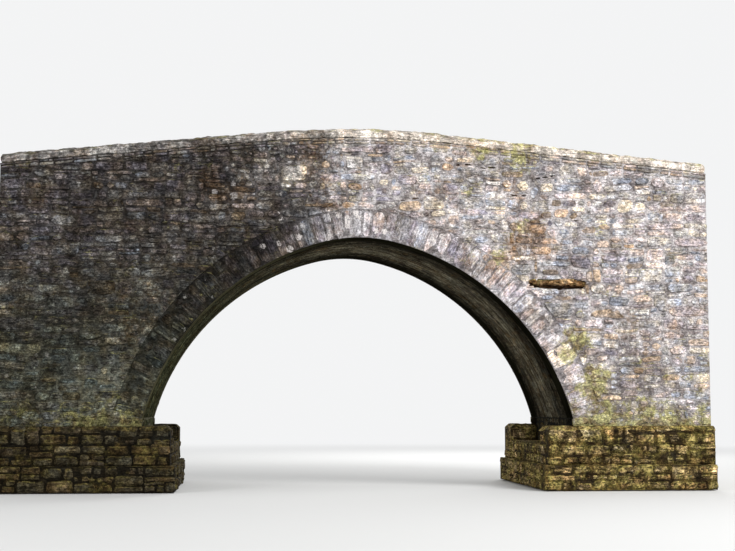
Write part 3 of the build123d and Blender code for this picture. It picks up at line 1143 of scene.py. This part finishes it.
def ring_of_stones(side_name, seed, facing):
    """Lay the voussoirs of one face: facing is 1 downstream and -1 upstream."""
    dice = random.Random(seed)
    ring = new_shape()

    def place(point):
        """Bend the upright wall round the arch, and turn it about for the upstream face."""
        x, z = on_arch(point.x, point.z)
        return Vector((facing * x, facing * (wall_face + point.y), z))

    run = -arch_run
    laid = 0
    while run < arch_run - 0.02:
        big = facing > 0 and run > big_from
        width = dice.uniform(0.38, 0.5) if big else dice.uniform(0.15, 0.27)
        if run + width > arch_run - 0.1:
            width = arch_run - run
        levels = [-0.01, ring_thickness - dice.uniform(0.0, 0.03)]
        if dice.random() < 0.22:
            levels.insert(1, dice.uniform(0.3, 0.42))
        for low, high in zip(levels, levels[1:]):
            kind = pick(dice, ring_kinds)
            if big:
                kind = dice.choice(["cream", "pink_grey"])
            looks = look(kind, any_tone(dice, 0.22, 0.55))
            proud = dice.uniform(0.005, 0.014)
            stone = rough_stone(
                width, high - low, voussoir_depth, proud, looks, dice, joint=dice.uniform(0.003, 0.007),
                rough=0.007, arris=0.008, rows=6)
            laid += lay_stone(ring, stone, (run + width / 2, (low + high) / 2), place, upright=True)
        run += width
    print(side_name, "ring:", laid, "voussoirs")
    finish_piece(f"{side_name}_voussoirs", ring, "ring_stone")


ring_of_stones("downstream", 21, 1)
ring_of_stones("upstream", 22, -1)

# %% [markdown]
# Under the arch the slabs lie lengthwise through the bridge and have been rendered over with
# lime, so they only stand a few millimetres out of it.

# %% Soffit slabs
soffit_half = -wall_face - voussoir_depth
soffit_size = ((0.3, 0.9), (0.12, 0.3))


def soffit_slabs(seed):
    """Lay the low slabs of the underside between the two rings, down to the abutments."""
    dice = random.Random(seed)
    halves = {"left": new_shape(), "right": new_shape()}

    def place(point):
        """Bend a wall that stands on its end round the underside."""
        x, z = on_arch(point.z, point.y)
        return Vector((x, point.x, z))

    for a, b, c, d in set_out(-soffit_half, soffit_half, -arch_run, arch_run, dice, soffit_size, (1.2, 0.9)):
        looks = look(any_kind(0.0, dice), dice.uniform(0.4, 0.6))
        proud = dice.uniform(0.003, 0.008)
        stone = rough_stone(b - a, d - c, 0.05, proud, looks, dice, joint=0.006, rough=0.004, arris=0.004)
        lay_stone(halves["left" if c + d < 0 else "right"], stone, ((a + b) / 2, (c + d) / 2), place)
    for half, wall in halves.items():
        finish_piece(f"{half}_soffit_slabs", wall, "soffit_stone")


soffit_slabs(31)

# %% [markdown]
# Low on the right a long stone has fallen out and left a scar. The solids have its hollow; here
# it gets the brown and mossy stones that show at its back, with a dark joint under them whose colour
# is painted shade, and a broken lip. Each has its place along the scar, length, height and lift;
# the stones at the back also have how proud they are, their kind and tone.

# %% The scar
scar_parts = [
    (-0.6, 0.66, 0.22, -0.02, -0.045, "open_joint", 0.3), (0.0, 0.7, 0.24, -0.03, -0.045, "open_joint", 0.5),
    (0.6, 0.7, 0.22, -0.02, -0.045, "open_joint", 0.2), (-0.84, 0.26, 0.11, 0.05, 0.004, "rust_brown", 0.25),
    (-0.5, 0.46, 0.155, 0.02, -0.002, "rust_brown", 0.3),
    (-0.08, 0.5, 0.165, 0.005, 0.002, "rust_brown", 0.6),
    (0.36, 0.5, 0.17, 0.02, -0.001, "rust_brown", 0.8), (0.74, 0.4, 0.14, -0.02, 0.003, "rust_brown", 0.4),
    (0.3, 0.36, 0.11, 0.045, 0.036, "cream", 1.0), (0.02, 0.24, 0.06, 0.05, 0.030, "tan", 1.0),
]
scar_lips = [
    (-0.16, 0.34, 0.12, 0.115), (0.22, 0.30, 0.08, 0.135), (-0.95, 0.22, 0.12, -0.115),
    (-0.72, 0.26, 0.07, -0.135), (-0.55, 0.30, 0.08, 0.14), (0.97, 0.2, 0.16, 0.10), (0.66, 0.4, 0.08, 0.14),
    (-1.0, 0.12, 0.1, -0.05), (-0.5, 0.36, 0.05, -0.135),
]


def scar_stones(seed):
    """Set the recessed stones in the scar, and then its lips."""
    dice = random.Random(seed)
    place = stood(0, (0.0, wall_face, 0.0))
    shapes = {"scar_stones": new_shape(), "scar_lips": new_shape()}

    def set_stone(name, along, length, height, lift, depth, proud, looks, **worn):
        """One stone at its place along the scar."""
        stone = rough_stone(length, height, depth, proud, looks, dice, joint=0.002, **worn)
        lay_stone(shapes[name], stone, (scar[0] + along * scar[2] / 2, scar[1] + lift), place, seed=seed)

    for *spot, proud, kind, tone in scar_parts:
        looks = look(kind, tone, 0.0 if kind == "open_joint" else 0.12)
        rough = 0.03 if kind == "rust_brown" else 0.008
        set_stone("scar_stones", *spot, 0.09, proud, looks, rough=rough, arris=0.02)
    for spot in scar_lips:
        looks = look(dice.choice(["grey", "pink_grey", "blue_grey"]), dice.uniform(0.4, 0.8))
        set_stone("scar_lips", *spot, stone_depth, dice.uniform(0.006, 0.014), looks, rough=0.014)
    finish_piece("scar_stones", shapes["scar_stones"], "scar_stone")
    finish_piece("scar_lips", shapes["scar_lips"], "wall_stone")


scar_stones(41)

# %% [markdown]
# The foot of the bridge is built of larger blocks. They show three sides: face, top and end. So
# each is a real block, a cube that is bevelled, divided and roughened all over, and it reaches
# back under the course above it.

# %% One rough block
def rough_block(length, height, depth, proud, looks, dice, rough=0.019, worn=0.045):
    """A worn block with x along, z up, its face towards -y and proud of y = 0."""
    opening = dice.uniform(0.0, 0.03)
    size = (length - opening, depth, height - opening * 0.6)
    block = new_shape()
    bmesh.ops.create_cube(block, size=1.0)
    bmesh.ops.scale(block, vec=size, verts=block.verts)
    bmesh.ops.bevel(
        block, geom=block.edges[:], offset=min(worn, size[2] * 0.2), offset_type="OFFSET", segments=1,
        profile=0.5, affect="EDGES", material=-1, clamp_overlap=True)
    long_edges = [edge for edge in block.edges if edge.calc_length() > 0.1]
    bmesh.ops.subdivide_edges(block, edges=long_edges, cuts=3, use_grid_fill=True)
    seed = dice.uniform(0, 500)
    at_edge = set()
    for point in block.verts:
        if sum(size[axis] / 2 - abs(point.co[axis]) < worn * 1.1 for axis in range(3)) > 1:
            at_edge.add(point)
        large = noise.noise_vector(Vector(point.co) * 4.2 + Vector((seed, 0, 0)))
        small = noise.noise_vector(Vector(point.co) * 15 + Vector((0, seed, 0)))
        point.co += large * rough * 1.3 + small * rough * 0.6
    put_looks(block, looks, at_edge.__contains__)
    tilt = Matrix.Rotation(radians(dice.uniform(-1.8, 1.8)), 3, "Y")
    bmesh.ops.rotate(block, verts=block.verts, matrix=tilt)
    bmesh.ops.translate(block, vec=(0.0, depth / 2 - proud, 0.0), verts=block.verts)
    return block


# %% [markdown]
# The three courses of the foot at each end: the base course, the plinth and the facing course.
# The blocks on the two faces turn the corners. Those towards the stream and at the ends stand
# between them. The facing course is weathered along its upper edge, so its blocks are cut to the
# same slope, and two of its blocks beside the arch are set by the picture.

# %% The foot of the bridge
foot_kinds = {
    "blue_grey": 2, "grey": 5, "pink_grey": 2, "purple_grey": 2, "tan": 3, "rust_brown": 2, "cream": 0.5,
}
courses = {
    "base_course": (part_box("right_base_course"), 0.22, 0.22, (0.35, 0.85), (0.18, 0.36)),
    "plinth": (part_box("right_plinth"), 0.22, 0.64, (0.35, 0.8), (0.2, 0.4)),
    "facing_course": (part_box("upstream_right_facing_course"), 0.30, 0.62, (0.4, 0.75), (0.3, 0.5)),
}
weathering = 0.08
joint_open = 0.012
thin = 0.12
noted_joints = (4.54, 5.09)


def foot_faces(side, course, dice):
    """The faces of one course at one end: where each stands, its cells, depth and mirroring."""
    ((stream_x, _, bottom), (end_x, reach_y, top)), depth, stream_depth, *size = courses[course]
    faced = course == "facing_course"
    faces = []

    def cells_between(left, right):
        """The cells of one row of blocks."""
        return set_out(left, right, bottom, top, dice, size, (1.3, top - bottom))

    for turn, y in ((0, -reach_y), (180, reach_y)):
        mirror = side if turn == 0 else -side
        ends = sorted((mirror * (stream_x - corner_proud), mirror * (end_x + corner_proud)))
        cells = cells_between(*ends)
        if faced and side == 1 and turn == 0:
            first, second = noted_joints
            cells = [(ends[0], first, bottom, top), (first, second, bottom, top)]
            cells += cells_between(second, ends[1])
        faces.append((stood(turn, (0.0, y, 0.0)), cells, depth, mirror))
    inner = reach_y - depth
    for turn, x, deep in ((-90 * side, side * stream_x, stream_depth), (90 * side, side * end_x, thin)):
        spans = [(-inner, inner)]
        if faced and deep > thin:
            spans = [(-inner, -soffit_half), (soffit_half, inner)]
        cells = [cell for span in spans for cell in cells_between(*span)]
        faces.append((stood(turn, (x, 0.0, 0.0)), cells, deep, 0))
    if faced:
        for turn, y in ((0, soffit_half), (180, -soffit_half)):
            mirror = side if turn == 0 else -side
            ends = sorted((mirror * stream_x, mirror * half_span))
            faces.append((stood(turn, (0.0, y, 0.0)), [(*ends, bottom, top)], thin, mirror))
    return faces


def foot_blocks(end_name, side, seed):
    """Lay the three courses of blocks at one end of the bridge."""
    dice = random.Random(seed)
    for course, ((low, high), *_) in courses.items():
        wall = new_shape()
        shoulder = high.z - weathering
        for place, cells, deep, mirror in foot_faces(side, course, dice):
            trims = []
            if course == "facing_course":
                if not (mirror and deep == thin):
                    trims.append(((0.0, -0.008, shoulder), Vector((0.0, -1.0, 1.0)).normalized()))
                if mirror:
                    corner = (mirror * (low.x - 0.008), 0.0, shoulder)
                    trims.append((corner, Vector((-mirror, 0.0, 1.0)).normalized()))
            for a, b, c, d in cells:
                kind = pick(dice, foot_kinds)
                lift = 0.010 if abs(d - high.z) < 1e-6 else 0.0
                proud = dice.uniform(0.0, 0.042)
                looks = look(kind, any_tone(dice, 0.28), dice.uniform(0.0, 0.12))
                block = rough_block(
                    b - a - joint_open, d - c - joint_open + lift, deep, proud, looks, dice)
                lay_stone(wall, block, ((a + b) / 2, (c + d + lift) / 2), place, trims)
        finish_piece(f"{end_name}_{course}_blocks", wall, "base_stone")


foot_blocks("right", 1, 51)
foot_blocks("left", -1, 52)

# %% [markdown]
# Between the plinth and the springing the abutments stand upright towards the stream, under the
# foot of the arch. At the ends of the bridge the rubble closes the fill off. Both are flat walls
# like the faces, only turned.

# %% Abutment faces and end walls
def rubble(
    name, place, area, seed, finish, size, proud, middle_x=None, tone=0.5, depth=stone_depth,
    panel=(1.5, 0.75),
):
    """Lay stones in an area (left, right, bottom, top), and keep them as a piece of their own."""
    dice = random.Random(seed)
    wall = new_shape()
    for a, b, c, d in set_out(*area, dice, size, panel):
        x, length = reach_end((a + b) / 2, b - a)
        looks = look(any_kind(x if middle_x is None else middle_x, dice), any_tone(dice, 0.22, tone))
        stone = rough_stone(length, d - c, depth, dice.uniform(*proud), looks, dice)
        lay_stone(wall, stone, (x, (c + d) / 2), place)
    finish_piece(name, wall, finish)


abutment_size = ((0.25, 0.7), (0.12, 0.28))
end_size = ((0.2, 0.6), (0.09, 0.26))
quoin_inside = -wall_face - quoin_depth
for end_name, side in (("right", 1), ("left", -1)):
    rubble(
        f"{end_name}_abutment_stones", stood(-90 * side, (side * half_span, 0.0, 0.0)),
        (wall_face, -wall_face, plinth_top, springing), 61 + side, "soffit_stone", abutment_size,
        (0.004, 0.014), middle_x=0.0)
    rubble(
        f"{end_name}_end_stones", stood(90 * side, (side * half_length, 0.0, 0.0)),
        (-quoin_inside, quoin_inside, facing_top, road_low.z), 71 + side, "wall_stone", end_size,
        (0.006, 0.02), middle_x=side * 4.0)

# %% [markdown]
# The parapets' inner faces follow the road. Their courses are laid out straight and then let
# down by the hump of the road, point by point. The thin flat slabs that level the wall under the
# coping are laid the same way on all four faces, a little proud, so they throw a line of shade.

# %% Parapet insides and levelling slabs
def humped(turn, origin):
    """A place for walls whose courses follow the road."""
    upright = stood(turn, origin)

    def place(point):
        """Stand the point up and let it down by the hump."""
        moved = upright(point)
        moved.z -= hump(moved.x)
        return moved

    return place


inside_size = ((0.18, 0.55), (0.08, 0.24))
slab_size = ((0.25, 0.8), (0.045, 0.1))
slab_seat = coping_seat - slab_band
parapet_faces = {
    "downstream_parapet_outer": (0, wall_face),
    "downstream_parapet_inner": (180, parapet_inside),
    "upstream_parapet_outer": (180, -wall_face),
    "upstream_parapet_inner": (0, -parapet_inside),
}
for order, (name, (turn, y)) in enumerate(parapet_faces.items()):
    place = humped(turn, (0.0, y, 0.0))
    outer = "outer" in name
    if not outer:
        rubble(
            f"{name}_stones", place, (-half_length, half_length, road_top - 0.09, slab_seat), 81 + order,
            "wall_stone", inside_size, (0.006, 0.02), tone=0.55, depth=thin, panel=(1.4, 0.6))
    rubble(
        f"{name}_slabs", place, (-half_length, half_length, slab_seat, coping_seat), 91 + order,
        "coping_slab", slab_size, (0.014, 0.036) if outer else (0.010, 0.028), tone=0.55,
        depth=quoin_depth if outer else thin, panel=(1.2, slab_band))

# %% [markdown]
# The coping is a rounded bank of stones and mortar. Its solid has the right place and section,
# so a copy of it is welded, given an even skin by a voxel remesh, and then made lumpy with noise
# of three sizes. The copy stands for the solid.

# %% Coping
coping_voxel = 0.034


def lumpy_coping(side_name, seed):
    """A rough skin in place of the smooth coping of one parapet."""
    node_name = f"{side_name}_coping"
    welded = new_shape()
    welded.from_mesh(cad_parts[node_name].data)
    bmesh.ops.remove_doubles(welded, verts=welded.verts, dist=0.0005)
    mesh = bpy.data.meshes.new("welded")
    welded.to_mesh(mesh)
    welded.free()
    draft = bpy.data.objects.new("draft", mesh)
    scene.collection.objects.link(draft)
    skin = draft.modifiers.new("skin", "REMESH")
    skin.mode = "VOXEL"
    skin.voxel_size = coping_voxel
    even = bpy.data.meshes.new_from_object(draft.evaluated_get(bpy.context.evaluated_depsgraph_get()))
    bpy.data.objects.remove(draft)
    bank = new_shape()
    bank.from_mesh(even)
    bank.normal_update()
    moves = []
    for point in bank.verts:
        spot = Vector(point.co)
        stones = noise.cell_vector(Vector((spot.x * 4.0, spot.y * 3.0, seed))).x
        broad = noise.noise(Vector((spot.x * 1.7, spot.y * 3, seed)))
        lumps = noise.noise(spot * 6.5 + Vector((0, 0, seed)))
        crumbs = noise.noise(spot * 19 + Vector((seed, 0, 0)))
        moves.append(broad * 0.012 + lumps * 0.021 + crumbs * 0.010 + (stones - 0.5) * 0.012 - 0.006)
    for point, move in zip(bank.verts, moves):
        point.co += point.normal * move
    piece = finish_piece(f"{side_name}_coping_bank", bank, "coping_mortar")
    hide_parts(node_name)


lumpy_coping("downstream", 3.0)
lumpy_coping("upstream", 9.0)

# %% [markdown]
# The road is packed stone and earth, crowned in the middle, with two shallow wheel tracks. The
# piece stands for the smooth solid and has the same thickness. Larger stones, worn round, look
# out of it; they are icospheres of a few faces each, pressed flat and roughened.

# %% Road
road_half = road_high.y
road_depth = 0.15
camber = 0.04
track_from_middle = 0.72
track_width = 0.2
track_depth = 0.022


def road_height(x, y):
    """The height of the road's surface before it is roughened."""
    tracks = track_depth * 2.7 ** -(((abs(y) - track_from_middle) / track_width) ** 2)
    return road_top - hump(x) - camber * (y / road_half) ** 2 - tracks


def road_surface(seed):
    """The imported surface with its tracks."""
    surface = new_shape()
    bmesh.ops.create_grid(surface, x_segments=230, y_segments=54, size=1.0)
    for point in surface.verts:
        x, y = point.co.x * half_length, point.co.y * road_half
        spot = Vector((x, y, seed))
        rough = noise.noise(spot * 1.3) * 0.012 + noise.noise(spot * 5) * 0.008
        rough += noise.noise(spot * 16) * 0.006
        point.co = (x, y, road_height(x, y) + rough)
    grown = bmesh.ops.extrude_face_region(surface, geom=surface.faces[:])
    for part in grown["geom"]:
        if isinstance(part, bmesh.types.BMVert):
            part.co.z = road_top - road_depth - hump(part.co.x)
    bmesh.ops.recalc_face_normals(surface, faces=surface.faces)
    piece = finish_piece("road_surface", surface, "road_earth")
    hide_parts("roadway")


def road_stones(seed, count=620):
    """Worn stones that show in the surface."""
    dice = random.Random(seed)
    stones = new_shape()
    for _ in range(count):
        x = dice.uniform(-half_length + 0.1, half_length - 0.1)
        y = dice.uniform(-road_half + 0.08, road_half - 0.08)
        stone = new_shape()
        bed = stone.verts.layers.float_vector["bed"]
        bmesh.ops.create_icosphere(stone, subdivisions=2, radius=1.0)
        length, width = dice.uniform(0.04, 0.1), dice.uniform(0.03, 0.07)
        bmesh.ops.scale(stone, vec=(length, width, 0.022), verts=stone.verts)
        bmesh.ops.rotate(stone, verts=stone.verts, matrix=Matrix.Rotation(dice.uniform(0, pi), 3, "Z"))
        middle = Vector((x, y, road_height(x, y) - 0.004))
        seed_here = Vector((dice.uniform(0, 300), 0, 0))
        tone = dice.uniform(0.2, 0.8)
        looks = look(dice.choice(("grey", "blue_grey", "pink_grey", "tan")), tone)
        for point in stone.verts:
            point.co += noise.noise_vector(point.co * 18 + seed_here) * 0.009
            point.co += middle
            point[bed] = point.co
        put_looks(stone, looks, lambda point: False)
        add_to(stones, stone)
    finish_piece("road_stones", stones, "road_stone")


road_surface(5.0)
road_stones(101)
